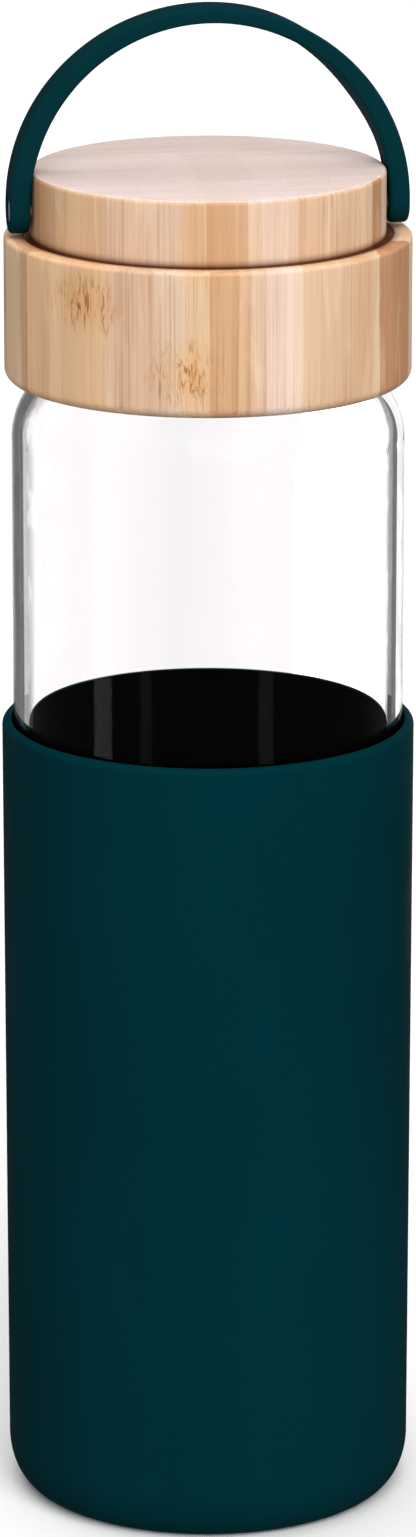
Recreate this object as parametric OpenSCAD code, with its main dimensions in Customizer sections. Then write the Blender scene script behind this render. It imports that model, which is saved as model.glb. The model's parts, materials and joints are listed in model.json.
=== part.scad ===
// Glass water bottle in a silicone sleeve, with a screw-on bamboo cap and a swinging carry strap.
// Millimetres, +Z up. The bottle's axis is Z and z = 0 is the underside of the sleeve.
// The strap's two screws lie along X, so the strap swings about an axis parallel to X.

/* [Glass] */
// Outer diameter of the glass body
glass_d = 66; // [65:0.1:66.1]
// Thickness of the glass wall
glass_wall = 2.6; // [2:0.1:3]
// Thickness of the glass at the middle of the floor
glass_floor = 4.5; // [4:0.5:7]
// Outer radius of the rounded corner round the glass floor
glass_corner = 7; // [6:0.5:9]
// Height at which the shoulder starts to curve in
shoulder_z = 185.2; // [180:0.2:185.6]
// Outer radius of the shoulder's curve
shoulder_r = 13.2; // [12.6:0.1:13.6]
// Outer diameter of the neck below the thread's crests
neck_d = 54; // [53.6:0.1:54.2]
// Radius of the hollow curve between the shoulder and the neck
neck_fillet = 3; // [2.5:0.1:3.2]
// Height of the glass rim
rim_z = 212; // [211.5:0.1:212.5]

/* [Screw thread] */
// Height gained in one full turn of the cap
lead = 4; // [3.6:0.1:4.5]
// How far each thread stands out of its wall
thread_depth = 1.2; // [1:0.1:1.3]
// Turns of thread on the neck, and in the liner
thread_turns = 1.25; // [1:0.25:1.5]
// Radial play between one thread's crest and the other's wall
thread_play = 0.4; // [0.3:0.05:0.5]
// Height at which the neck's thread starts
thread_z = 202.8; // [202:0.2:203.4]

/* [Sleeve] */
// Height of the sleeve's rim
sleeve_h = 136.5; // [110:0.5:150]
// Outer diameter above the rounded base corner
sleeve_base_d = 69; // [68.8:0.1:70]
// Outer diameter at the rim
sleeve_rim_d = 69.8; // [69.2:0.1:71]
// Width of the base corner's curve
base_corner_w = 5.2; // [3:0.2:6]
// Height of the base corner's curve
base_corner_h = 8.6; // [5:0.2:10]
// Thickness of the floor
sleeve_floor = 2.2; // [2:0.1:2.8]
// Gap all round between the sleeve and the glass
sleeve_gap = 0.2; // [0.15:0.05:0.3]

/* [Bamboo cap] */
// Height of the cap's lower edge
cap_z = 195.6; // [195.2:0.1:196]
// Diameter of the wide band
band_d = 68.2; // [67.6:0.1:70]
// Height of the ledge on top of the band
ledge_z = 220; // [219.4:0.1:220.2]
// Diameter of the narrower top of the cap
stage_d = 59.4; // [58:0.1:59.6]
// Height of the cap's flat top
top_z = 230.9; // [230:0.1:233]
// Radius of the turned edge at the bottom of the band
band_edge = 1.8; // [1:0.1:2]
// Radius of the turned edges at the top of the band and of the cap
top_edge = 0.7; // [0.4:0.1:1]
// Width of the groove turned in the ledge at the foot of the narrower top
groove_w = 1.4; // [0.6:0.1:1.8]
// Depth of that groove
groove_h = 1; // [0.4:0.1:1.2]

/* [Liner and seal] */
// Thickness of the liner's skirt
liner_wall = 2; // [1.8:0.1:2.1]
// Thickness of the liner's ceiling
liner_top = 1.6; // [1.4:0.1:1.8]
// Thickness of the glue line between liner and bamboo
glue = 0.05; // [0.02:0.01:0.1]
// Thickness of the seal ring
seal_t = 2.4; // [2:0.1:2.5]
// Inner diameter of the seal ring
seal_id = 45.8; // [45:0.1:46.4]
// Outer diameter of the seal ring
seal_od = 56.2; // [55:0.1:56.4]

/* [Carry strap] */
// Width of the band
strap_w = 7.4; // [6.8:0.1:8]
// Thickness at the top of the arch
strap_t_top = 2.6; // [2.2:0.1:3]
// Thickness at the two ends
strap_t_end = 3.45; // [3.2:0.05:3.8]
// Gap between the strap's ends and the cap
strap_gap = 0.45; // [0.45:0.05:0.6]
// Height of the top of the arch
strap_top_z = 258.2; // [257:0.1:262]
// Height at which the arch starts above the straight ends
spring_z = 225.4; // [225:0.1:226]
// Height of the axis that the strap swings about
pivot_z = 224.5; // [224.4:0.1:225]
// Play round each screw in the strap
pivot_play = 0.08; // [0.05:0.01:0.1]

/* [Strap screws] */
// Diameter of the flat head
head_d = 5; // [4.6:0.1:5.2]
// Height of the head
head_h = 1.3; // [1:0.1:1.5]
// How far the head sits below the strap's outer face
head_sink = 0.4; // [0:0.1:0.6]
// Diameter of the plain shoulder under the head
shoulder_d = 3.2; // [3:0.1:3.4]
// Diameter of the threaded end
screw_d = 2.6; // [2.4:0.1:2.8]
// Length of the threaded end
screw_len = 12; // [8:1:14]
// Size across the flats of the hexagon socket
socket_af = 2; // [1.5:0.1:2.2]
// Depth of the hexagon socket
socket_depth = 0.8; // [0.6:0.1:0.9]

/* [Hidden] */
$fn = 96;

glass_r = glass_d / 2;
bore_r = glass_r - glass_wall;
neck_r = neck_d / 2;
stage_r = stage_d / 2;
thread_r = neck_r + thread_depth;            // crest of the neck's thread
liner_bore_r = thread_r + thread_play;       // wall between the liner's threads
liner_r = liner_bore_r + liner_wall;
ceiling_z = rim_z + seal_t;                  // underside of the liner's ceiling
liner_z = cap_z + 0.6;                       // lower edge of the liner, a little inside the cap
liner_end_z = ceiling_z + liner_top;
cap_bore_r = liner_r + glue;
cap_bore_z = liner_end_z + glue;
boss_r = seal_id / 2 - 0.4;                  // ring under the ceiling that centres the seal
boss_wall = 1.4;
boss_h = 1.6;
lip = 0.8;                                   // rounding of the glass rim
punt_r = 22;                                 // radius of the dished middle of the glass floor
punt_h = 1.2;                                // height of the dish
strap_in = stage_r + strap_gap;              // inner half width of the arch
strap_out = strap_in + strap_t_end;
head_out = strap_out - head_sink;            // outer face of each screw's head
head_play = 0.1;                             // play round and under each screw's head
hole_play = 0.05;                            // play round the screw thread in the bamboo
steps_per_turn = 48;                         // rings in one turn of a thread
fade_steps = 4;                              // rings over which a thread runs out at each end
thread_start = 20;                           // angle at which the threads start
run_out = 0.4;                               // share of the root's depth that its crest sinks to
root_depth = 0.5;                            // how far a thread's root is set into its wall
root_half = 1.25;                            // half height of a thread at its root
crest_half = 0.5;                            // half height of a thread at its crest

// Points on an arc about c with radii r, from angle a to angle b
function arc(c, r, a, b, n = 10) =
    [for (i = [0:n]) let (t = a + (b - a) * i / n) [c[0] + r[0] * cos(t), c[1] + r[1] * sin(t)]];

// One ring of a thread: root, two crest corners and root again, each a radius and a height.
// As the thread runs out, its crest sinks a little way into the wall.
function thread_ring(wall, root, crest, share) =
    let (sunk = wall + (root - wall) * run_out, tip = sunk + (crest - sunk) * share)
    [[root, -root_half], [tip, -crest_half], [tip, crest_half], [root, root_half]];

// How much of the full height a thread has at ring i of n
function fade(i, n) = min(1, i / fade_steps, (n - i) / fade_steps);

// A helical rib that stands out of, or into, a round wall. It starts at the angle thread_start,
// and z is its height at angle 0.
module helix_rib(wall, root, crest, z, turns) {
    n = round(turns * steps_per_turn);
    outward = crest > wall;
    rings = [for (i = [0:n]) thread_ring(wall, root, crest, fade(i, n))];
    points = [
        for (i = [0:n]) for (k = [0:3])
        let (p = rings[i][outward ? 3 - k : k], a = thread_start + 360 * i / steps_per_turn)
        [p[0] * cos(a), p[0] * sin(a), z + lead * a / 360 + p[1]]
    ];
    sides = [
        for (i = [0:n - 1]) for (k = [0:3])
        let (a = 4 * i + k, b = 4 * i + (k + 1) % 4)
        each [[a, a + 4, b], [b, a + 4, b + 4]]
    ];
    ends = [[0, 1, 2], [0, 2, 3], [4 * n, 4 * n + 2, 4 * n + 1], [4 * n, 4 * n + 3, 4 * n + 2]];
    polyhedron(points, concat(sides, ends));
}

module silicone_sleeve() {
    base_r = sleeve_base_d / 2;
    rim_r = sleeve_rim_d / 2;
    inner_r = glass_r + sleeve_gap;
    inner_corner = glass_corner - 1;
    outer_edge = 1.1;
    inner_edge = 0.4;
    color([0.00, 0.19, 0.21])
    rotate_extrude()
    polygon(concat(
        [[0, 0]],
        arc([base_r - base_corner_w, base_corner_h], [base_corner_w, base_corner_h], -90, 0, 14),
        arc([rim_r - outer_edge, sleeve_h - outer_edge], [outer_edge, outer_edge], 0, 90, 5),
        arc([inner_r + inner_edge, sleeve_h - inner_edge], [inner_edge, inner_edge], 90, 180, 3),
        arc([inner_r - inner_corner, sleeve_floor + inner_corner],
            [inner_corner, inner_corner], 0, -90, 8),
        [[0, sleeve_floor]]
    ));
}

module glass_bottle() {
    shoulder_c = [glass_r - shoulder_r, shoulder_z];
    fillet_x = neck_r + neck_fillet;
    meet = acos((fillet_x - shoulder_c[0]) / (shoulder_r + neck_fillet));
    fillet_c = [fillet_x, shoulder_z + (shoulder_r + neck_fillet) * sin(meet)];
    in_shoulder = shoulder_r - glass_wall;
    in_fillet = neck_fillet + glass_wall;
    bottom = sleeve_floor;
    in_corner = glass_corner - glass_wall;
    floor_z = bottom + glass_floor;
    color([0.90, 0.94, 0.94, 0.35])
    union() {
        rotate_extrude()
        polygon(concat(
            [[0, bottom + punt_h]],
            arc([punt_r - 4, bottom], [4, punt_h], 90, 0, 4),
            arc([glass_r - glass_corner, bottom + glass_corner], [glass_corner, glass_corner], -90, 0),
            arc(shoulder_c, [shoulder_r, shoulder_r], 0, meet, 12),
            arc(fillet_c, [neck_fillet, neck_fillet], 180 + meet, 180, 6),
            arc([neck_r - lip, rim_z - lip], [lip, lip], 0, 90, 4),
            arc([neck_r - glass_wall + lip, rim_z - lip], [lip, lip], 90, 180, 4),
            arc(fillet_c, [in_fillet, in_fillet], 180, 180 + meet, 6),
            arc(shoulder_c, [in_shoulder, in_shoulder], meet, 0, 12),
            arc([bore_r - in_corner, floor_z + in_corner], [in_corner, in_corner], 0, -90, 8),
            [[0, floor_z]]
        ));
        helix_rib(neck_r, neck_r - root_depth, thread_r, thread_z, thread_turns);
    }
}

module seal_ring() {
    color([0.93, 0.93, 0.91])
    translate([0, 0, rim_z])
    difference() {
        cylinder(h = seal_t, d = seal_od);
        translate([0, 0, -1]) cylinder(h = seal_t + 2, d = seal_id);
    }
}

module thread_liner() {
    color([0.95, 0.95, 0.94])
    union() {
        rotate_extrude()
        polygon([
            [0, liner_end_z], [0, ceiling_z], [boss_r - boss_wall, ceiling_z],
            [boss_r - boss_wall, ceiling_z - boss_h], [boss_r, ceiling_z - boss_h],
            [boss_r, ceiling_z], [liner_bore_r, ceiling_z], [liner_bore_r, liner_z],
            [liner_r, liner_z], [liner_r, liner_end_z]
        ]);
        helix_rib(liner_bore_r, liner_bore_r + root_depth, liner_bore_r - thread_depth,
                  thread_z - lead / 2, thread_turns);
    }
}

module bamboo_cap() {
    band_r = band_d / 2;
    inner_edge = 0.5;
    color([0.87, 0.71, 0.54])
    difference() {
        rotate_extrude()
        polygon(concat(
            [[0, cap_bore_z], [cap_bore_r, cap_bore_z]],
            [[cap_bore_r, cap_z + inner_edge], [cap_bore_r + inner_edge, cap_z]],
            arc([band_r - band_edge, cap_z + band_edge], [band_edge, band_edge], -90, 0, 6),
            arc([band_r - top_edge, ledge_z - top_edge], [top_edge, top_edge], 0, 90, 4),
            arc([stage_r + groove_w / 2, ledge_z], [groove_w / 2, groove_h], 0, -180, 6),
            arc([stage_r - top_edge, top_z - top_edge], [top_edge, top_edge], 0, 90, 4),
            [[0, top_z]]
        ));
        for (side = [-1, 1]) screw_hole(side);
    }
}

// Blind pilot hole for a strap screw, in the cap's left (-1) or right (1) side
module screw_hole(side) {
    depth = screw_len + 0.6;
    translate([side * (stage_r - depth), 0, pivot_z])
    rotate([0, side * 90, 0])
    cylinder(h = depth + 1, d = screw_d + 2 * hole_play);
}

module carry_strap() {
    color([0.04, 0.22, 0.25])
    difference() {
        intersection() {
            strap_arch();
            strap_side_view();
        }
        for (side = [-1, 1]) strap_hole(side);
    }
}

// The arch with its two straight ends, as wide as the strap
module strap_arch() {
    rise = strap_top_z - spring_z;
    low = pivot_z - strap_w / 2;
    translate([0, strap_w / 2, 0])
    rotate([90, 0, 0])
    linear_extrude(height = strap_w)
    polygon(concat(
        [[strap_out, low]],
        arc([0, spring_z], [strap_out, rise], 0, 180, 40),
        [[-strap_out, low], [-strap_in, low]],
        arc([0, spring_z], [strap_in, rise - strap_t_top], 180, 0, 40),
        [[strap_in, low]]
    ));
}

// Rounds the two ends about the axis that the strap swings about
module strap_side_view() {
    rotate([90, 0, 90])
    linear_extrude(height = 2 * strap_out + 2, center = true)
    union() {
        translate([0, pivot_z]) circle(d = strap_w);
        translate([-strap_w / 2, pivot_z]) square([strap_w, strap_top_z - pivot_z + 1]);
    }
}

// Screw hole through one end, with the seat that its head sinks into
module strap_hole(side) {
    translate([0, 0, pivot_z])
    rotate([0, side * 90, 0]) {
        translate([0, 0, strap_in - 1])
        cylinder(h = strap_t_end + 2, d = shoulder_d + 2 * pivot_play);
        translate([0, 0, head_out - head_h - head_play])
        cylinder(h = head_h + head_sink + 2, d = head_d + 2 * head_play);
    }
}

// Shoulder screw in the cap's left (-1) or right (1) side, its head just below the strap's face
module strap_screw(side) {
    color([0.78, 0.79, 0.80])
    translate([0, 0, pivot_z])
    rotate([0, side * 90, 0])
    difference() {
        union() {
            translate([0, 0, stage_r - screw_len]) cylinder(h = screw_len + 1, d = screw_d);
            translate([0, 0, stage_r]) cylinder(h = head_out - stage_r - 0.5, d = shoulder_d);
            translate([0, 0, head_out - head_h]) cylinder(h = head_h, d = head_d);
        }
        translate([0, 0, head_out - socket_depth])
        cylinder(h = socket_depth + 1, d = socket_af / cos(30), $fn = 6);
    }
}

module strap_screw_left() strap_screw(-1);
module strap_screw_right() strap_screw(1);

silicone_sleeve();
glass_bottle();
seal_ring();
thread_liner();
bamboo_cap();
carry_strap();
strap_screw_left();
strap_screw_right();
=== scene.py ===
"""Glass water bottle in a teal silicone sleeve, with a bamboo screw cap and a carry strap.

Everything is in metres in the shared frame: +Z up the bottle's axis, and X through the strap's
screws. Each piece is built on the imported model's sizes, rides on its body and replaces its plain
CAD node.
"""

import json
import math

import bmesh
import bpy
from mathutils import Matrix, Vector


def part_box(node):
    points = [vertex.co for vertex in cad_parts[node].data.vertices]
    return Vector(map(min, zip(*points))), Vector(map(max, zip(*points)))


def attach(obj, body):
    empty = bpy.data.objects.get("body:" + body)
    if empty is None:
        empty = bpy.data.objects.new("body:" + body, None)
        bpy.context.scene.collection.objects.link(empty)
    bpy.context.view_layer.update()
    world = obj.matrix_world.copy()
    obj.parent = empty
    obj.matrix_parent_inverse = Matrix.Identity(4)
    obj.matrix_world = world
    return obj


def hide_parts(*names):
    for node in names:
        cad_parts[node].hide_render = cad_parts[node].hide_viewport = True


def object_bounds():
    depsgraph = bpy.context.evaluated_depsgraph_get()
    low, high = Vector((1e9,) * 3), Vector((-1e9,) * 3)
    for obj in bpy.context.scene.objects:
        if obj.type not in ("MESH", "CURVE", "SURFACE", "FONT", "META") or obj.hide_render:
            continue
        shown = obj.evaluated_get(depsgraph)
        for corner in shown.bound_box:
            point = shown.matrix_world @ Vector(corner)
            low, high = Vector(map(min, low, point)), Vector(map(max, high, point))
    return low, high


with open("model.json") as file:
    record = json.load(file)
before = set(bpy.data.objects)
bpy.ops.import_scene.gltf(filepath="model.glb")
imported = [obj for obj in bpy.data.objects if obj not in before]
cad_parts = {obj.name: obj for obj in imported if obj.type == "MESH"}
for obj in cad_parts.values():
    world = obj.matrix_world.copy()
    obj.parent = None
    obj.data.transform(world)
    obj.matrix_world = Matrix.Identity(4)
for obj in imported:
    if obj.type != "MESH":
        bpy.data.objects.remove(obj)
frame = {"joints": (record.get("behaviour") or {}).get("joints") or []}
cad_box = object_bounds()

MM = 0.001
CLOSE = 1e-6  # points nearer than this are one point
TINY = 1e-7  # lengths below this are zero

# ------------------------------------------------------------------ sizes

_, sleeve_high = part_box("silicone_sleeve")
glass_low, glass_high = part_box("glass_bottle")
seal_low, seal_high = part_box("seal_ring")
liner_low, liner_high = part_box("thread_liner")
cap_low, cap_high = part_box("bamboo_cap")
strap_low, strap_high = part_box("carry_strap")
screw_low, screw_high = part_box("strap_screw_right")
joints = {j["name"]: j for j in frame["joints"]}

GLASS_R = glass_high.x
GLASS_WALL = 2.6 * MM
GLASS_FLOOR = 4.5 * MM
GLASS_CORNER = 7 * MM
SHOULDER_Z = 185.2 * MM
SHOULDER_R = 13.2 * MM
NECK_R = 27 * MM
NECK_FILLET = 3 * MM
LIP = 0.8 * MM
PUNT_R = 22 * MM
PUNT_H = 1.2 * MM
PUNT_CURVE = 8 * MM

LEAD = 4 * MM
THREAD_DEPTH = 1.2 * MM
THREAD_TURNS = 1.25
THREAD_START = 20  # degrees
THREAD_Z = 202.8 * MM
CREST_HALF = 0.5 * MM
FOOT_HALF = 1.03 * MM
RUN_OUT = 30  # degrees over which a thread fades at each end

SLEEVE_WALL_IN = GLASS_R + 0.2 * MM
SLEEVE_BASE_R = 34.5 * MM
SLEEVE_RIM_R = sleeve_high.x
BASE_CORNER_W = 5.2 * MM
BASE_CORNER_H = 8.6 * MM
SLEEVE_FLOOR = glass_low.z

BAND_R = cap_high.x
STAGE_R = 29.7 * MM
LEDGE_Z = 220 * MM
BAND_EDGE = 1.8 * MM
TOP_EDGE = 0.7 * MM
GROOVE_W = 1.4 * MM
GROOVE_H = 1.0 * MM
GLUE = 0.05 * MM

LINER_R = liner_high.x
LINER_BORE_R = NECK_R + THREAD_DEPTH + 0.4 * MM
LINER_TOP = 1.6 * MM
BOSS_R = 22.5 * MM
BOSS_WALL = 1.4 * MM
BOSS_H = 1.6 * MM

SEAL_IN_R = 22.9 * MM

STRAP_OUT = strap_high.x
STRAP_T_END = 3.45 * MM
STRAP_T_TOP = 2.6 * MM
STRAP_R = (strap_high.y - strap_low.y) / 2
SPRING_Z = 225.4 * MM
PIVOT_Z = joints["strap_swing"]["pos_m"][2]
STRAP_EDGE = 0.75 * MM
STRAP_LEAN = 0.85 * MM
LEAN_START, LEAN_FULL, LEAN_FALL, LEAN_END = 9, 37, 38, 80  # degrees round the arch
PIVOT_PLAY = 0.08 * MM
HEAD_PLAY = 0.1 * MM

HEAD_R = 2.5 * MM
HEAD_H = 1.3 * MM
SHANK_R = 1.6 * MM
SCREW_R = 1.3 * MM
SOCKET = 1 * MM  # half the socket's size across the flats
SOCKET_DEPTH = 0.8 * MM
PILOT_R = SCREW_R + 0.05 * MM
PILOT_DEPTH = 12.6 * MM

SEGMENTS = 192


# ------------------------------------------------------------------ mesh tools


def smooth(t):
    """Eases from 0 to 1 as t goes from 0 to 1."""
    return t * t * (3 - 2 * t)


def arc(centre, radii, start, end, count):
    """Points (r, z) on an arc about centre, between two angles in degrees."""
    points = []
    for i in range(count + 1):
        a = math.radians(start + (end - start) * i / count)
        points.append((centre[0] + radii[0] * math.cos(a), centre[1] + radii[1] * math.sin(a)))
    return points


def rise(r, low, high, count):
    """Points straight up a wall of radius r, without its two ends."""
    return [(r, low + (high - low) * i / count) for i in range(1, count)]


def turned(name, profile, loop=False, segments=SEGMENTS):
    """A mesh turned about Z from (r, z) points that end on the axis, or go round in a loop."""
    verts, rows, faces = [], [], []
    for r, z in profile:
        ring = 1 if r < TINY else segments
        rows.append((len(verts), ring))
        for k in range(ring):
            a = 2 * math.pi * k / segments
            verts.append((r * math.cos(a), r * math.sin(a), z))
    pairs = list(zip(rows, rows[1:])) + ([(rows[-1], rows[0])] if loop else [])
    for (a, ring_a), (b, ring_b) in pairs:
        for k in range(segments):
            n = (k + 1) % segments
            if ring_a == 1 and ring_b == 1:
                continue
            if ring_a == 1:
                faces.append((a, b + n, b + k))
            elif ring_b == 1:
                faces.append((a + k, a + n, b))
            else:
                faces.append((a + k, a + n, b + n, b + k))
    mesh = bpy.data.meshes.new(name)
    mesh.from_pydata(verts, [], faces)
    return mesh


def thread_height(angle, z, start_z):
    """How far a thread stands out of its wall at an angle in degrees and a height."""
    height = 0
    for turn in range(3):
        a = angle + 360 * turn
        run, left = a - THREAD_START, THREAD_START + 360 * THREAD_TURNS - a
        if run < 0 or left < 0:
            continue
        away = abs(z - (start_z + LEAD * a / 360))
        flank = min(1, max(0, (FOOT_HALF - away) / (FOOT_HALF - CREST_HALF)))
        ends = min(1, run / RUN_OUT, left / RUN_OUT)
        height = max(height, smooth(flank) * ends)
    return height * THREAD_DEPTH


def add_thread(mesh, wall, start_z, direction):
    """Raises a thread out of the wall of that radius: outwards for 1, inwards for -1."""
    for v in mesh.vertices:
        r = math.hypot(v.co.x, v.co.y)
        if abs(r - wall) > CLOSE:
            continue
        angle = math.degrees(math.atan2(v.co.y, v.co.x)) % 360
        grown = (r + direction * thread_height(angle, v.co.z, start_z)) / r
        v.co.x *= grown
        v.co.y *= grown


def tidy(mesh, sharp=40):
    """Merges doubled points, turns every face outwards and smooths all but sharp edges."""
    bm = bmesh.new()
    bm.from_mesh(mesh)
    bmesh.ops.remove_doubles(bm, verts=bm.verts, dist=CLOSE)
    bmesh.ops.dissolve_degenerate(bm, edges=bm.edges, dist=TINY)
    bmesh.ops.recalc_face_normals(bm, faces=bm.faces)
    bm.to_mesh(mesh)
    bm.free()
    mesh.shade_smooth()
    mesh.set_sharp_from_angle(angle=math.radians(sharp))


def piece(name, mesh, node, body, slot, *materials):
    """Puts a finished mesh in the scene, in place of its CAD node, on its body."""
    tidy(mesh)
    obj = bpy.data.objects.new(name, mesh)
    bpy.context.scene.collection.objects.link(obj)
    for material in materials:
        mesh.materials.append(material)
    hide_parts(node)
    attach(obj, body)
    return obj


def paint(obj, index, chosen):
    """Gives the material of that index to every face for which chosen(centre, normal) is true."""
    for face in obj.data.polygons:
        if chosen(face.center, face.normal):
            face.material_index = index


def cut(mesh, *cutters):
    """The mesh with each cutter mesh taken out of it."""
    body = bpy.data.objects.new("cut_body", mesh)
    bpy.context.scene.collection.objects.link(body)
    tidy(mesh)
    tools = []
    for cutter in cutters:
        tidy(cutter)
        tool = bpy.data.objects.new("cut_tool", cutter)
        bpy.context.scene.collection.objects.link(tool)
        tools.append(tool)
        step = body.modifiers.new("cut", "BOOLEAN")
        step.operation = "DIFFERENCE"
        step.solver = "EXACT"
        step.object = tool
    bpy.context.view_layer.update()
    ready = body.evaluated_get(bpy.context.evaluated_depsgraph_get())
    result = bpy.data.meshes.new_from_object(ready)
    for obj in (body, *tools):
        bpy.data.objects.remove(obj)
    return result


def along_x(mesh, side):
    """Turns a mesh made about Z so that it lies along X at the pivot's height, on one side."""
    turn = Matrix.Rotation(side * math.pi / 2, 4, "Y")
    mesh.transform(Matrix.Translation((0, 0, PIVOT_Z)) @ turn)
    return mesh


# ------------------------------------------------------------------ shader tools


class Shader:
    """One material's nodes: a Principled shader, and short ways to add what feeds it."""

    def __init__(self, name, **values):
        self.material = bpy.data.materials.new(name)
        self.material.use_nodes = True
        self.tree = self.material.node_tree
        self.tree.nodes.clear()
        self.output = self.tree.nodes.new("ShaderNodeOutputMaterial")
        self.bsdf = self.tree.nodes.new("ShaderNodeBsdfPrincipled")
        self.join(self.bsdf.outputs[0], self.output.inputs[0])
        for socket, value in values.items():
            self.bsdf.inputs[socket.replace("_", " ")].default_value = value
        self.place = self.node("ShaderNodeTexCoord").outputs["Object"]

    def node(self, kind, **settings):
        made = self.tree.nodes.new(kind)
        for key, value in settings.items():
            setattr(made, key, value)
        return made

    def join(self, source, target):
        self.tree.links.new(source, target)

    def feed(self, socket, value):
        """Sets a socket to a number or colour, or links another socket to it."""
        if hasattr(value, "links"):
            self.join(value, socket)
        else:
            socket.default_value = value

    def stretched(self, scale):
        """Object coordinates times a scale for each axis."""
        mapping = self.node("ShaderNodeMapping")
        self.join(self.place, mapping.inputs["Vector"])
        mapping.inputs["Scale"].default_value = scale
        return mapping.outputs[0]

    def noise(self, scale, detail=4, rough=0.5, distortion=0.0):
        made = self.node("ShaderNodeTexNoise")
        self.join(self.stretched(scale), made.inputs["Vector"])
        made.inputs["Scale"].default_value = 1
        made.inputs["Detail"].default_value = detail
        made.inputs["Roughness"].default_value = rough
        made.inputs["Distortion"].default_value = distortion
        return made.outputs["Fac"]

    def math(self, operation, a, b=0.0, c=0.0):
        made = self.node("ShaderNodeMath", operation=operation)
        for socket, value in zip(made.inputs, (a, b, c)):
            self.feed(socket, value)
        return made.outputs[0]

    def range(self, value, low, high, to_low, to_high):
        made = self.node("ShaderNodeMapRange")
        self.join(value, made.inputs[0])
        for socket, limit in zip(made.inputs[1:5], (low, high, to_low, to_high)):
            socket.default_value = limit
        return made.outputs[0]

    def ramp(self, value, stops, interpolation="LINEAR"):
        made = self.node("ShaderNodeValToRGB")
        made.color_ramp.interpolation = interpolation
        elements = made.color_ramp.elements
        while len(elements) < len(stops):
            elements.new(0.5)
        for element, (position, colour) in zip(elements, stops):
            element.position = position
            element.color = (*colour, 1)
        self.join(value, made.inputs[0])
        return made.outputs[0]

    def mix(self, blend, share, a, b):
        made = self.node("ShaderNodeMix", data_type="RGBA", blend_type=blend)
        self.feed(made.inputs["Factor"], share)
        for socket, value in zip((made.inputs[6], made.inputs[7]), (a, b)):
            self.feed(socket, value if hasattr(value, "links") else (*value, 1))
        return made.outputs[2]

    def bump(self, height, distance, strength=1.0, normal=None):
        made = self.node("ShaderNodeBump")
        made.inputs["Distance"].default_value = distance
        made.inputs["Strength"].default_value = strength
        self.join(height, made.inputs["Height"])
        if normal is not None:
            self.join(normal, made.inputs["Normal"])
        return made.outputs[0]

    def set(self, **sockets):
        for name, source in sockets.items():
            self.join(source, self.bsdf.inputs[name.replace("_", " ")])


def greys(*stops):
    """Ramp stops of neutral grey, from pairs of a place and a value."""
    return [(at, (value,) * 3) for at, value in stops]


def srgb(red, green, blue):
    """A colour given as 0 to 255 display values, in linear light."""
    return tuple(
        v / 255 / 12.92 if v / 255 <= 0.04045 else ((v / 255 + 0.055) / 1.055) ** 2.4
        for v in (red, green, blue)
    )


# ------------------------------------------------------------------ materials

SILICONE_IOR = 1.41
GLASS_IOR = 1.473


def silicone(name, deep, pale):
    """Smooth matte moulded silicone, a little uneven in tone and gloss."""
    s = Shader(name, IOR=SILICONE_IOR, Specular_IOR_Level=0.015)
    cloud = s.noise((35, 35, 16), detail=3)
    dust = s.noise((2600, 2600, 2600), detail=2)
    tone = s.mix("MIX", s.range(cloud, 0.35, 0.65, 0, 1), deep, pale)
    tone = s.mix("MULTIPLY", 0.5, tone, s.ramp(dust, greys((0.35, 0.82), (0.6, 1))))
    s.set(Base_Color=tone)
    s.set(Roughness=s.range(s.noise((120, 120, 60), detail=5), 0.3, 0.7, 0.5, 0.66))
    soft = s.bump(s.noise((45, 45, 30), detail=2), 0.12 * MM, 0.35)
    s.set(Normal=s.bump(dust, 0.012 * MM, 0.6, soft))
    return s.material


def sleeve_inside_painted_shade():
    """The sleeve's inside, the same teal silicone painted near black as painted shade, with a matte
    bloom where it grips the glass.
    """
    s = Shader("sleeve_inside_painted_shade", IOR=SILICONE_IOR, Specular_IOR_Level=0.0)
    bloom = s.noise((160, 160, 12), detail=4)
    s.set(Base_Color=s.ramp(bloom, [(0.35, (0.0003,) * 3), (0.75, (0.0016, 0.0018, 0.0018))]))
    s.set(Roughness=s.range(bloom, 0.3, 0.7, 0.55, 0.75))
    s.set(Normal=s.bump(bloom, 0.05 * MM, 0.3))
    return s.material


# Share of the glare that the coating leaves, against how much the bare glass would mirror
GLARE = greys((0.06, 0.14), (0.5, 0.3), (0.96, 0.6), (0.995, 1))

# Share of the light behind the glass that passes unbent, against how far its face turns away
OUTER_CLEARING = greys((0, 0), (0.54, 0), (0.61, 0.5), (0.665, 0.4), (0.69, 0), (0.8, 0), (1, 0.8))
INNER_CLEARING = greys((0, 0), (1, 0))


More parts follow.
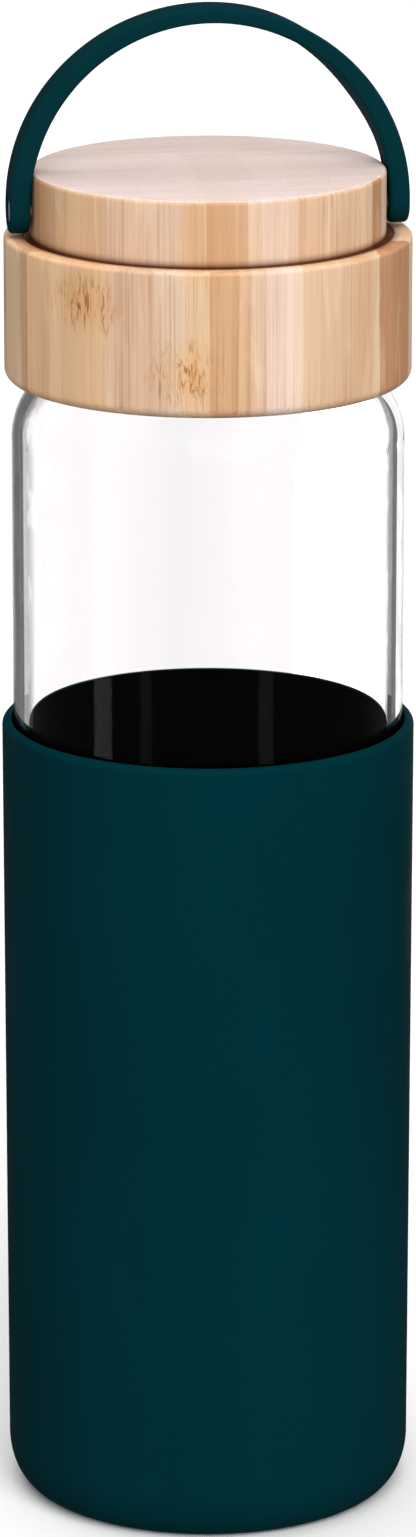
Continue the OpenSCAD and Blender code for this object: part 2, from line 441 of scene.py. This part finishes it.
def glass(name, clearing):
    """Clear borosilicate glass with little glare. Lamps shine straight through it."""
    s = Shader(name, IOR=GLASS_IOR, Transmission_Weight=1.0)
    drawn = s.noise((70, 70, 2.5), detail=2)
    clear = s.ramp(drawn, [(0.3, (0.94, 0.93, 0.935)), (0.62, (0.975, 0.96, 0.965))])
    facing = s.node("ShaderNodeLayerWeight").outputs["Facing"]
    tint = s.mix("MIX", s.range(facing, 0.15, 0.5, 0, 1), clear, (0.985, 0.972, 0.977))
    s.set(Base_Color=tint)
    s.set(Roughness=s.range(s.noise((220, 220, 120), detail=3), 0.45, 0.8, 0.0, 0.02))
    s.set(Normal=s.bump(s.noise((55, 55, 8), detail=1), 0.02 * MM, 0.25))

    # A coating takes away most of the glare, but none of the mirroring inside the wall.
    bent = s.node("ShaderNodeBsdfRefraction")
    s.join(tint, bent.inputs["Color"])
    bent.inputs["IOR"].default_value = GLASS_IOR
    bent.inputs["Roughness"].default_value = 0.0
    glare = s.node("ShaderNodeFresnel")
    glare.inputs["IOR"].default_value = GLASS_IOR
    coated = s.node("ShaderNodeMixShader")
    s.join(s.ramp(glare.outputs[0], GLARE), coated.inputs[0])
    s.join(bent.outputs[0], coated.inputs[1])
    s.join(s.bsdf.outputs[0], coated.inputs[2])

    through = s.node("ShaderNodeBsdfTransparent")
    through.inputs["Color"].default_value = (0.96, 0.97, 0.97, 1)
    shadow = s.node("ShaderNodeLightPath").outputs["Is Shadow Ray"]
    open_share = s.math("MAXIMUM", shadow, s.ramp(facing, clearing))
    either = s.node("ShaderNodeMixShader")
    s.join(open_share, either.inputs[0])
    s.join(coated.outputs[0], either.inputs[1])
    s.join(through.outputs[0], either.inputs[2])
    s.join(either.outputs[0], s.output.inputs[0])
    return s.material


# Bamboo strips from left to right across the front of the cap: where each starts, and its colour
STRIPS = [
    (0.0, (231, 189, 150)),
    (0.03, (238, 198, 158)),
    (0.094, (228, 188, 148)),
    (0.195, (226, 191, 163)),
    (0.30, (228, 199, 175)),
    (0.375, (231, 196, 160)),
    (0.428, (213, 170, 131)),
    (0.50, (221, 183, 148)),
    (0.53, (231, 200, 175)),
    (0.565, (239, 215, 199)),
    (0.63, (236, 209, 188)),
    (0.659, (227, 192, 160)),
    (0.80, (231, 197, 163)),
    (0.865, (201, 151, 112)),
]
LAYER_DEPTH = 24 * MM  # the cap's block is glued from three layers, front to back
LAYER_SHIFT = 0.41  # how far each layer's strips are shifted, as a share of the width

# Knuckles, where the stem's joints show: place in mm, and half sizes along X, Y and Z in mm
KNUCKLES = [
    ((-24, -25, 214), (7, 12, 6)),
    ((-9, -33, 203), (7, 12, 7)),
    ((13, 32, 212), (7, 12, 9)),
    ((-16, 30, 204), (6, 12, 7)),
    ((-33, 4, 210), (12, 6, 9)),
    ((33, 8, 203), (12, 6, 8)),
]


def strip_tones(s, palette):
    """Tone of the glued strips, which run up the cap in layers, with feathered edges."""
    xyz = s.node("ShaderNodeSeparateXYZ")
    s.join(s.place, xyz.inputs[0])
    wander = s.math("SUBTRACT", s.noise((90, 90, 30), detail=1), 0.5)
    feather = s.math("SUBTRACT", s.noise((1200, 1200, 14), detail=3), 0.5)
    wobble = s.math("MULTIPLY_ADD", feather, 1.1 * MM, s.math("MULTIPLY", wander, 0.9 * MM))
    across = s.range(s.math("ADD", xyz.outputs[0], wobble), -BAND_R, BAND_R, 0, 1)
    layer = s.math("FLOOR", s.math("MULTIPLY_ADD", xyz.outputs[1], 1 / LAYER_DEPTH, 1.5))
    shifted = s.math("FRACT", s.math("MULTIPLY_ADD", layer, LAYER_SHIFT, across))
    return s.ramp(shifted, [(at, srgb(*c)) for at, c in palette], "CONSTANT")


def knuckle_mask(s):
    """1 inside the knuckles, fading to 0 at their ragged edges."""
    total = None
    ragged = s.math("MULTIPLY", s.noise((420, 420, 160), detail=4, rough=0.65), 1.1)
    for centre, size in KNUCKLES:
        mapping = s.node("ShaderNodeMapping", vector_type="TEXTURE")
        s.join(s.place, mapping.inputs["Vector"])
        mapping.inputs["Location"].default_value = [c * MM for c in centre]
        mapping.inputs["Scale"].default_value = [c * MM for c in size]
        length = s.node("ShaderNodeVectorMath", operation="LENGTH")
        s.join(mapping.outputs[0], length.inputs[0])
        near = s.math("ADD", length.outputs["Value"], ragged)
        mask = s.range(near, 0.75, 1.5, 1, 0)
        total = mask if total is None else s.math("MAXIMUM", total, mask)
    return total


def groove_painted_shade(s):
    """1 in the groove at the foot of the narrower top, fading out across the ledge and up the wall
    above it: the mask of a painted shade for the shadowed recess.
    """
    xyz = s.node("ShaderNodeSeparateXYZ")
    s.join(s.place, xyz.inputs[0])
    x, y, z = xyz.outputs
    r = s.math("SQRT", s.math("MULTIPLY_ADD", x, x, s.math("MULTIPLY", y, y)))
    near_wall = s.range(r, STAGE_R + GROOVE_W / 2, STAGE_R + 2.6 * MM, 1, 0)
    near_foot = s.range(z, LEDGE_Z, LEDGE_Z + 1.5 * MM, 1, 0)
    return s.math("MULTIPLY", near_wall, s.math("POWER", near_foot, 2.0))


def bamboo_side():
    """Laminated bamboo seen along its fibres: strips, fibres, vessels, pale flames, knuckles."""
    s = Shader("bamboo_side", IOR=1.5, Specular_IOR_Level=0.3)
    tone = strip_tones(s, STRIPS)
    broad = s.noise((130, 130, 9), detail=2, rough=0.5)
    fibre = s.noise((1250, 1250, 11), detail=6, rough=0.75, distortion=0.05)
    vessel = s.noise((3300, 3300, 24), detail=3, rough=0.6)
    patch = s.range(s.noise((75, 75, 22), detail=2), 0.38, 0.62, 0.35, 1)
    fleck = s.noise((1150, 1150, 260), detail=3, rough=0.6, distortion=0.9)
    tone = s.mix("MULTIPLY", 0.7, tone, s.ramp(broad, [
        (0.34, srgb(232, 216, 198)), (0.5, srgb(248, 244, 240)), (0.66, (1.03, 1.02, 1.0))]))
    tone = s.mix("MULTIPLY", s.math("MULTIPLY", patch, 0.46), tone, s.ramp(fibre, [
        (0.36, srgb(202, 172, 142)), (0.5, srgb(246, 242, 238)), (0.7, (1.03, 1.02, 1.0))]))
    tone = s.mix("MULTIPLY", s.math("MULTIPLY", patch, 0.55), tone, s.ramp(vessel, [
        (0.32, srgb(176, 140, 108)), (0.43, srgb(249, 247, 245)), (0.7, (1.02, 1.02, 1.02))]))
    flame = s.range(s.noise((260, 260, 34), detail=3, rough=0.6, distortion=0.5), 0.56, 0.66, 0, 1)
    tone = s.mix("SCREEN", s.math("MULTIPLY", flame, 0.22), tone, srgb(246, 214, 170))
    knuckle = knuckle_mask(s)
    tone = s.mix("MULTIPLY", knuckle, tone, s.ramp(broad, [
        (0.3, srgb(244, 226, 198)), (0.6, srgb(255, 246, 226))]))
    marks = s.ramp(fleck, [
        (0.36, srgb(150, 116, 88)), (0.43, srgb(222, 194, 164)), (0.49, (1, 1, 1))])
    tone = s.mix("MULTIPLY", s.math("MULTIPLY", knuckle, 0.9), tone, marks)
    # Painted shade: the groove, the ledge beside it and the foot of the wall above are darkened to
    # brown in place of the shadow in the recess.
    tone = s.mix("MULTIPLY", groove_painted_shade(s), tone, srgb(116, 76, 50))
    s.set(Base_Color=tone)
    s.set(Roughness=s.range(fibre, 0.3, 0.7, 0.6, 0.45))
    deep = s.bump(fibre, 0.05 * MM, 0.4)
    s.set(Normal=s.bump(vessel, 0.03 * MM, 0.3, deep))
    return s.material


def bamboo_end_and_sheen():
    """The same block on its flat top faces, with faint streaks and vessels as fine dots. It is
    paler and pinker, partly as the end grain's own tone and partly as a painted sheen of the light
    from above.
    """
    s = Shader("bamboo_end_and_sheen", IOR=1.5, Specular_IOR_Level=0.4)
    # Partly painted sheen: this pale pink top tone stands for light falling on and glancing off the
    # top, as well as the end grain's own tone.
    sanded_and_sheen = (226, 209, 204)
    pale = [(at, [0.1 * v + 0.9 * w for v, w in zip(tone, sanded_and_sheen)]) for at, tone in STRIPS]
    tone = strip_tones(s, pale)
    streak = s.noise((24, 420, 40), detail=4, rough=0.6, distortion=0.4)
    dots = s.noise((1700, 1700, 30), detail=3, rough=0.6)
    tone = s.mix("MULTIPLY", 0.3, tone, s.ramp(streak, [
        (0.34, srgb(230, 214, 204)), (0.55, (1, 1, 1))]))
    tone = s.mix("MULTIPLY", 0.3, tone, s.ramp(dots, [
        (0.34, srgb(200, 172, 152)), (0.46, (1, 1, 1))]))
    s.set(Base_Color=tone)
    s.set(Roughness=s.range(dots, 0.3, 0.7, 0.55, 0.42))
    s.set(Normal=s.bump(dots, 0.03 * MM, 0.4))
    return s.material


def liner_plastic():
    """White moulded polypropylene with a faint satin texture."""
    s = Shader("liner_plastic", IOR=1.49, Subsurface_Weight=0.08, Subsurface_Scale=0.002)
    cloud = s.noise((90, 90, 90), detail=3)
    s.set(Base_Color=s.ramp(cloud, [(0.3, srgb(236, 235, 230)), (0.7, srgb(246, 246, 243))]))
    s.set(Roughness=s.range(s.noise((400, 400, 400), detail=4), 0.3, 0.7, 0.32, 0.46))
    s.set(Normal=s.bump(s.noise((2500, 2500, 2500), detail=2), 0.01 * MM, 0.5))
    return s.material


def seal_silicone():
    """Milky food-grade silicone."""
    s = Shader("seal_silicone", IOR=SILICONE_IOR, Subsurface_Weight=0.25, Subsurface_Scale=0.002)
    cloud = s.noise((140, 140, 140), detail=3)
    s.set(Base_Color=s.ramp(cloud, [(0.3, srgb(222, 222, 214)), (0.7, srgb(236, 236, 230))]))
    s.set(Roughness=s.range(cloud, 0.3, 0.7, 0.42, 0.55))
    s.set(Normal=s.bump(s.noise((2200, 2200, 2200), detail=2), 0.01 * MM, 0.5))
    return s.material


def screw_steel():
    """Stainless steel, turned and lightly brushed, with small scratches."""
    s = Shader("screw_steel", Metallic=1.0, Anisotropic=0.4)
    scratch = s.noise((900, 5200, 1400), detail=4, rough=0.6)
    s.set(Base_Color=s.ramp(scratch, [(0.3, srgb(182, 184, 186)), (0.7, srgb(214, 215, 216))]))
    s.set(Roughness=s.range(scratch, 0.3, 0.7, 0.24, 0.42))
    s.set(Normal=s.bump(scratch, 0.006 * MM, 0.5))
    return s.material


# ------------------------------------------------------------------ the pieces


def make_sleeve():
    edge, inner_edge = 1.1 * MM, 0.4 * MM
    corner = GLASS_CORNER - MM
    rim = sleeve_high.z
    base_corner = (BASE_CORNER_W, BASE_CORNER_H)
    steps = 12
    profile = [
        (0, 0),
        *arc((SLEEVE_BASE_R - BASE_CORNER_W, BASE_CORNER_H), base_corner, -90, 0, 20),
        *[(SLEEVE_BASE_R + (SLEEVE_RIM_R - SLEEVE_BASE_R) * k / steps,
           BASE_CORNER_H + (rim - edge - BASE_CORNER_H) * k / steps) for k in range(1, steps)],
        *arc((SLEEVE_RIM_R - edge, rim - edge), (edge, edge), 0, 90, 8),
        *arc((SLEEVE_WALL_IN + inner_edge, rim - inner_edge), (inner_edge, inner_edge), 90, 180, 5),
        *reversed(rise(SLEEVE_WALL_IN, SLEEVE_FLOOR + corner, rim - inner_edge, 12)),
        *arc((SLEEVE_WALL_IN - corner, SLEEVE_FLOOR + corner), (corner, corner), 0, -90, 10),
        (0, SLEEVE_FLOOR),
    ]
    outside = silicone("sleeve_silicone", srgb(0, 43, 50), srgb(0, 46, 53))
    sleeve = piece("sleeve", turned("sleeve", profile), "silicone_sleeve", "sleeve",
                   "sleeve_silicone", outside, sleeve_inside_painted_shade())
    lowest, highest = SLEEVE_FLOOR - 0.1 * MM, rim - 0.1 * MM
    # Painted shade: the inner faces get the near-black copy of the silicone.
    paint(sleeve, 1, lambda c, n: c.x * n.x + c.y * n.y < CLOSE and lowest < c.z < highest)


def glass_profile():
    """Outline of the glass from the middle of its underside, over the rim, to its inside floor."""
    centre = (GLASS_R - SHOULDER_R, SHOULDER_Z)
    fillet_x = NECK_R + NECK_FILLET
    meet = math.degrees(math.acos((fillet_x - centre[0]) / (SHOULDER_R + NECK_FILLET)))
    fillet = (fillet_x, SHOULDER_Z + (SHOULDER_R + NECK_FILLET) * math.sin(math.radians(meet)))
    in_shoulder, in_fillet = SHOULDER_R - GLASS_WALL, NECK_FILLET + GLASS_WALL
    bottom, rim = glass_low.z, glass_high.z
    corner, in_corner = GLASS_CORNER, GLASS_CORNER - GLASS_WALL
    floor = bottom + GLASS_FLOOR
    bore = GLASS_R - GLASS_WALL
    neck_in = NECK_R - GLASS_WALL
    return [
        (0, bottom + PUNT_H),
        *arc((PUNT_R - PUNT_CURVE, bottom), (PUNT_CURVE, PUNT_H), 90, 0, 10),
        *arc((GLASS_R - corner, bottom + corner), (corner, corner), -90, 0, 16),
        *rise(GLASS_R, bottom + corner, SHOULDER_Z, 12),
        *arc(centre, (SHOULDER_R, SHOULDER_R), 0, meet, 24),
        *arc(fillet, (NECK_FILLET, NECK_FILLET), 180 + meet, 180, 10)[1:],
        *rise(NECK_R, fillet[1], rim - LIP, 52),
        *arc((NECK_R - LIP, rim - LIP), (LIP, LIP), 0, 90, 8),
        *arc((neck_in + LIP, rim - LIP), (LIP, LIP), 90, 180, 8),
        *arc(fillet, (in_fillet, in_fillet), 180, 180 + meet, 12),
        *arc(centre, (in_shoulder, in_shoulder), meet, 0, 24)[1:],
        *reversed(rise(bore, floor + in_corner, SHOULDER_Z, 12)),
        *arc((bore - in_corner, floor + in_corner), (in_corner, in_corner), 0, -90, 12),
        (0, floor),
    ]


def make_bottle():
    mesh = turned("bottle", glass_profile())
    add_thread(mesh, NECK_R, THREAD_Z, 1)
    outer = glass("bottle_glass", OUTER_CLEARING)
    inner = glass("bottle_glass_inside", INNER_CLEARING)
    bottle = piece("bottle", mesh, "glass_bottle", "bottle", "clear_glass", outer, inner)
    middle = Vector((0, 0, SHOULDER_Z / 2))
    paint(bottle, 1, lambda c, n: (c - middle).dot(n) < 0)


def make_seal():
    edge = 0.5 * MM
    low, high, out = seal_low.z, seal_high.z, seal_high.x
    corners = [(out - edge, low + edge, -90), (out - edge, high - edge, 0),
               (SEAL_IN_R + edge, high - edge, 90), (SEAL_IN_R + edge, low + edge, 180)]
    profile = []
    for r, z, start in corners:
        profile += arc((r, z), (edge, edge), start, start + 90, 6)
    piece("seal", turned("seal", profile, loop=True), "seal_ring", "seal",
          "seal_silicone", seal_silicone())


def make_liner():
    edge = 0.4 * MM
    low, high = liner_low.z, liner_high.z
    ceiling = high - LINER_TOP
    foot = ceiling - BOSS_H
    profile = [
        (0, ceiling),
        (BOSS_R - BOSS_WALL, ceiling),
        *arc((BOSS_R - BOSS_WALL / 2, foot + 0.3 * MM), (BOSS_WALL / 2, 0.3 * MM), 180, 360, 8),
        (BOSS_R, ceiling),
        (LINER_BORE_R, ceiling),
        *reversed(rise(LINER_BORE_R, low + edge, ceiling, 58)),
        *arc((LINER_BORE_R + edge, low + edge), (edge, edge), 180, 270, 5),
        *arc((LINER_R - edge, low + edge), (edge, edge), 270, 360, 5),
        *arc((LINER_R - edge, high - edge), (edge, edge), 0, 90, 5),
        (0, high),
    ]
    mesh = turned("liner", profile)
    add_thread(mesh, LINER_BORE_R, THREAD_Z - LEAD / 2, -1)
    piece("liner", mesh, "thread_liner", "lid", "liner_plastic", liner_plastic())


def make_cap():
    inner_edge = 0.5 * MM
    low, top = cap_low.z, cap_high.z
    bore, ceiling = LINER_R + GLUE, liner_high.z + GLUE
    profile = [
        (0, ceiling),
        (bore, ceiling),
        *arc((bore + inner_edge, low + inner_edge), (inner_edge, inner_edge), 180, 270, 5),
        *arc((BAND_R - BAND_EDGE, low + BAND_EDGE), (BAND_EDGE, BAND_EDGE), -90, 0, 12),
        *rise(BAND_R, low + BAND_EDGE, LEDGE_Z - TOP_EDGE, 8),
        *arc((BAND_R - TOP_EDGE, LEDGE_Z - TOP_EDGE), (TOP_EDGE, TOP_EDGE), 0, 90, 7),
        *arc((STAGE_R + GROOVE_W / 2, LEDGE_Z), (GROOVE_W / 2, GROOVE_H), 0, -180, 10),
        *rise(STAGE_R, LEDGE_Z, top - TOP_EDGE, 6),
        *arc((STAGE_R - TOP_EDGE, top - TOP_EDGE), (TOP_EDGE, TOP_EDGE), 0, 90, 7),
        (0, top),
    ]
    deep, out = STAGE_R - PILOT_DEPTH, STAGE_R + 2.3 * MM
    pilot = [(0, deep), (PILOT_R, deep), (PILOT_R, out), (0, out)]
    holes = [along_x(turned("pilot", pilot, segments=32), side) for side in (-1, 1)]
    mesh = cut(turned("cap", profile), *holes)
    cap = piece("cap", mesh, "bamboo_cap", "lid", "bamboo", bamboo_side(), bamboo_end_and_sheen())
    # Partly painted sheen: the flat top faces get the paler, pinker copy of the bamboo.
    paint(cap, 1, lambda c, n: abs(n.z) > 0.75 and c.z > LEDGE_Z + MM)


def strap_stations():
    """Where the strap's cross-sections lie, from the right tip over the arch to the left one.

    Each is (side, kind, value). The value is the angle round the rounded end from its tip, the
    height on the straight wall above it, or the angle round the arch.
    """
    tip = [("end", 90 * i / 14) for i in range(15)]
    straight = [("wall", PIVOT_Z + (SPRING_Z - PIVOT_Z) * i / 2) for i in (1, 2)]
    right = [(1, *s) for s in tip + straight]
    arch = [(1, "arch", 180 * i / 96) for i in range(1, 96)]
    return right + arch + [(-1, *s[1:]) for s in reversed(right)]


def strap_lean(angle):
    """How far the band's back edge leans inwards at an angle in degrees round the arch. The
    silicone is a little twisted on its right side."""
    grown = min(1, max(0, (angle - LEAN_START) / (LEAN_FULL - LEAN_START)))
    left = min(1, max(0, (LEAN_END - angle) / (LEAN_END - LEAN_FALL)))
    return STRAP_LEAN * smooth(grown) * smooth(left)


def strap_point(station, inset, share, across):
    """A point of the strap. It is inset from the strap's outline, and share goes from 0 on the
    inner face to 1 on the outer one. Across goes from -1 at the front edge to 1 at the back."""
    side, kind, value = station
    rise_out = strap_high.z - SPRING_Z
    inner, outer = STRAP_OUT - STRAP_T_END, STRAP_OUT
    if kind == "arch":
        a = math.radians(value)
        rise_in = rise_out - STRAP_T_TOP
        x = (inner + (outer - inner) * share) * math.cos(a)
        z = SPRING_Z + (rise_in + (rise_out - rise_in) * share) * math.sin(a)
        lean = strap_lean(value) * (1 + across) / 2
        return x - lean * math.cos(a), across * (STRAP_R - inset), z - lean * math.sin(a)
    x = side * (inner + (outer - inner) * share)
    if kind == "wall":
        return x, across * (STRAP_R - inset), value
    a = math.radians(value)
    reach = STRAP_R - inset
    return x, across * reach * math.sin(a), PIVOT_Z - reach * math.cos(a)


def strap_section():
    """One trip round the strap's section: (inset, share, across) with rounded long edges."""
    bend, flat = 6, 6
    half = []
    for i in range(flat):
        half.append((STRAP_EDGE, 1, i / flat))
    for i in range(bend + 1):
        a = math.radians(90 * i / bend)
        inset = STRAP_EDGE * (1 - math.sin(a))
        half.append((inset, 1 - STRAP_EDGE * (1 - math.cos(a)) / STRAP_T_END, 1))
    half.append((0, 0.5, 1))
    lower = [(inset, 1 - share, across) for inset, share, across in reversed(half[:-1])]
    side = half + lower
    return side + [(inset, share, -across) for inset, share, across in reversed(side[1:-1])]


def make_strap():
    stations, section = strap_stations(), strap_section()
    verts = [strap_point(st, *at) for st in stations for at in section]
    n = len(section)
    faces = [
        (j * n + k, j * n + (k + 1) % n, (j + 1) * n + (k + 1) % n, (j + 1) * n + k)
        for j in range(len(stations) - 1)
        for k in range(n)
    ]
    mesh = bpy.data.meshes.new("strap")
    mesh.from_pydata(verts, [], faces)
    hole, bowl, flare = SHANK_R + PIVOT_PLAY, HEAD_R + HEAD_PLAY, 0.3 * MM
    inside, outside = STRAP_OUT - 6 * MM, STRAP_OUT + MM
    seat = screw_high.x - HEAD_H - HEAD_PLAY
    outline = [(0, inside), (hole, inside), (hole, seat), (bowl, seat),
               (bowl, STRAP_OUT - 0.2 * MM), (bowl + flare, STRAP_OUT + 0.1 * MM),
               (bowl + flare, outside), (0, outside)]
    holes = [along_x(turned("seat", outline, segments=64), side) for side in (-1, 1)]
    rubber = silicone("strap_silicone", srgb(3, 45, 51), srgb(6, 48, 54))
    piece("strap", cut(mesh, *holes), "carry_strap", "strap", "strap_silicone", rubber)


def hexagon(angle):
    """Distance from a unit hexagon's centre to its side, at an angle in degrees."""
    return 1 / math.cos(math.radians((angle + 30) % 60 - 30))


def make_screw(name, side, material):
    """A shoulder screw with a hexagon socket, and a wood thread in the bamboo."""
    edge = 0.2 * MM
    top, start, shoulder = screw_high.x, screw_low.x, STAGE_R
    pitch, core = 1.1 * MM, 1.05 * MM
    crest_half = 0.28  # half width of the wood thread, as a share of its pitch
    profile = [
        (0, top - SOCKET_DEPTH - 0.3 * MM),
        (SOCKET, top - SOCKET_DEPTH),
        (SOCKET, top - 0.1 * MM),
        (SOCKET + 0.12 * MM, top),
        *arc((HEAD_R - edge, top - edge), (edge, edge), 90, 0, 5),
        (HEAD_R, top - HEAD_H),
        (SHANK_R, top - HEAD_H),
        (SHANK_R, shoulder),
        (core, shoulder),
        *reversed(rise(core, start + 1.6 * MM, shoulder - 0.5 * MM, 66)),
        (core * 0.6, start + 0.7 * MM),
        (0, start),
    ]
    mesh = turned(name, profile, segments=96)
    for v in mesh.vertices:
        r, angle = math.hypot(v.co.x, v.co.y), math.degrees(math.atan2(v.co.y, v.co.x))
        if r < TINY:
            continue
        if r < SOCKET + 0.2 * MM and v.co.z > top - HEAD_H:
            grown = hexagon(angle)
        elif abs(r - core) < CLOSE and start + 1.7 * MM < v.co.z < shoulder - 0.6 * MM:
            phase = (v.co.z / pitch - angle / 360) % 1
            grown = 1 + (SCREW_R / core - 1) * max(0, 1 - abs(phase - 0.5) / crest_half)
        else:
            continue
        v.co.x *= grown
        v.co.y *= grown
    along_x(mesh, side)
    piece(name, mesh, "strap_" + name, "lid", "screw_steel", material)


# ------------------------------------------------------------------ camera, floor and light

# The camera looks down on the bottle, a little from the left.
CAMERA_DISTANCE = 1.216  # from the bottle's axis
CAMERA_HEIGHT = 0.4638
CAMERA_PITCH = 0.270  # radians below level
CAMERA_TURN = 0.15  # radians round the bottle, towards -X
SENSOR = 36  # mm along the picture's long side
LENS = 173.9  # mm
FLOOR_R = 12


def make_camera():
    data = bpy.data.cameras.new("camera")
    data.sensor_width = SENSOR
    data.lens = LENS
    data.clip_start = 0.05
    data.clip_end = 100
    camera = bpy.data.objects.new("camera", data)
    camera.location = (
        -CAMERA_DISTANCE * math.sin(CAMERA_TURN),
        -CAMERA_DISTANCE * math.cos(CAMERA_TURN),
        CAMERA_HEIGHT,
    )
    camera.rotation_euler = (math.pi / 2 - CAMERA_PITCH, 0, -CAMERA_TURN)
    bpy.context.scene.collection.objects.link(camera)
    bpy.context.scene.camera = camera


def floor_material():
    """Plain white studio paper. It is clear from below, so that the underside can be seen, and
    isn't mirrored in the glass."""
    s = Shader("studio_paper", Specular_IOR_Level=0.0, Roughness=1.0)
    grain = s.noise((3, 3, 3), detail=2)
    s.set(Base_Color=s.ramp(grain, [(0.3, (0.85, 0.85, 0.85)), (0.7, (0.87, 0.87, 0.87))]))
    either = s.node("ShaderNodeMixShader")
    mirrored = s.math("MINIMUM", s.node("ShaderNodeLightPath").outputs["Glossy Depth"], 1)
    s.join(s.math("MAXIMUM", s.node("ShaderNodeNewGeometry").outputs["Backfacing"], mirrored),
           either.inputs[0])
    s.join(s.bsdf.outputs[0], either.inputs[1])
    s.join(s.node("ShaderNodeBsdfTransparent").outputs[0], either.inputs[2])
    s.join(either.outputs[0], s.output.inputs[0])
    return s.material


def make_floor():
    bm = bmesh.new()
    bmesh.ops.create_circle(bm, cap_ends=True, segments=96, radius=FLOOR_R)
    mesh = bpy.data.meshes.new("floor")
    bm.to_mesh(mesh)
    bm.free()
    mesh.materials.append(floor_material())
    floor = bpy.data.objects.new("floor", mesh)
    floor.location.z = cad_box[0].z - 0.1 * MM
    floor.visible_diffuse = False
    floor.visible_shadow = False
    bpy.context.scene.collection.objects.link(floor)


BOTTLE_MIDDLE = Vector((0, 0, 0.13))
STRIP_Z = 0.1  # height of the soft boxes' middles


def lamp(name, kind, place, **settings):
    """A lamp that shines from place towards the middle of the bottle, hidden from the camera."""
    data = bpy.data.lights.new(name, kind)
    for key, value in settings.items():
        setattr(data, key, value)
    light = bpy.data.objects.new(name, data)
    light.location = place
    aim = BOTTLE_MIDDLE - Vector(place)
    light.rotation_euler = aim.to_track_quat("-Z", "Y").to_euler()
    light.visible_camera = False
    bpy.context.scene.collection.objects.link(light)
    return light


def strip_box(name, x, y, width, height, power, seen_through=False):
    """A narrow upright soft box, which draws a streak down the glass. One that is seen
    through the glass also lights up the edge of its wall."""
    light = lamp(name, "AREA", (x, y, STRIP_Z),
                 shape="RECTANGLE", size=width, size_y=height, energy=power)
    light.visible_diffuse = False
    light.visible_transmission = seen_through


WORLD_LIGHTING = 0.45  # the room's strength as it lights matte surfaces
WORLD_MIRRORED = 0.15  # its strength in mirrored light


def make_world():
    """A white room for the eye, dimmer as it lights the bottle and darkest in mirrored light."""
    world = bpy.data.worlds.new("studio")
    bpy.context.scene.world = world
    world.use_nodes = True
    nodes, links = world.node_tree.nodes, world.node_tree.links
    path = nodes.new("ShaderNodeLightPath")
    mirrored = nodes.new("ShaderNodeMapRange")
    mirrored.inputs["To Min"].default_value = 1.0
    mirrored.inputs["To Max"].default_value = WORLD_MIRRORED
    links.new(path.outputs["Glossy Depth"], mirrored.inputs["Value"])
    lighting = nodes.new("ShaderNodeMapRange")
    lighting.inputs["To Max"].default_value = WORLD_LIGHTING
    links.new(mirrored.outputs[0], lighting.inputs["To Min"])
    links.new(path.outputs["Is Diffuse Ray"], lighting.inputs["Value"])
    sky = nodes["Background"]
    sky.inputs["Color"].default_value = (1, 1, 1, 1)
    links.new(lighting.outputs[0], sky.inputs["Strength"])


def make_light():
    make_world()
    suns = (
        lamp("key", "SUN", (0.1, -1.0, 0.9), energy=2.8, angle=math.radians(50)),
        lamp("top", "SUN", (-0.2, 0.35, 2.0), energy=1.2, angle=math.radians(60)),
    )
    for sun in suns:
        sun.visible_glossy = False
    strip_box("left_strip", -0.47, -0.16, 0.1, 0.4, power=0.42)
    strip_box("left_front_strip", -0.35, -0.36, 0.06, 0.4, power=0.05)
    strip_box("right_front_strip", 0.21, -0.46, 0.08, 0.4, power=0.1)
    strip_box("right_back_strip", 0.19, 0.41, 0.19, 0.3, power=0.155, seen_through=True)
    strip_box("left_back_strip", -0.26, 0.377, 0.108, 0.3, power=0.05, seen_through=True)


# ------------------------------------------------------------------ the scene

scene = bpy.context.scene
scene.view_settings.view_transform = "Standard"
scene.cycles.caustics_reflective = False
scene.cycles.caustics_refractive = False

make_camera()
make_floor()
make_light()
make_sleeve()
make_bottle()
make_seal()
make_liner()
make_cap()
make_strap()
steel = screw_steel()
make_screw("screw_left", -1, steel)
make_screw("screw_right", 1, steel)
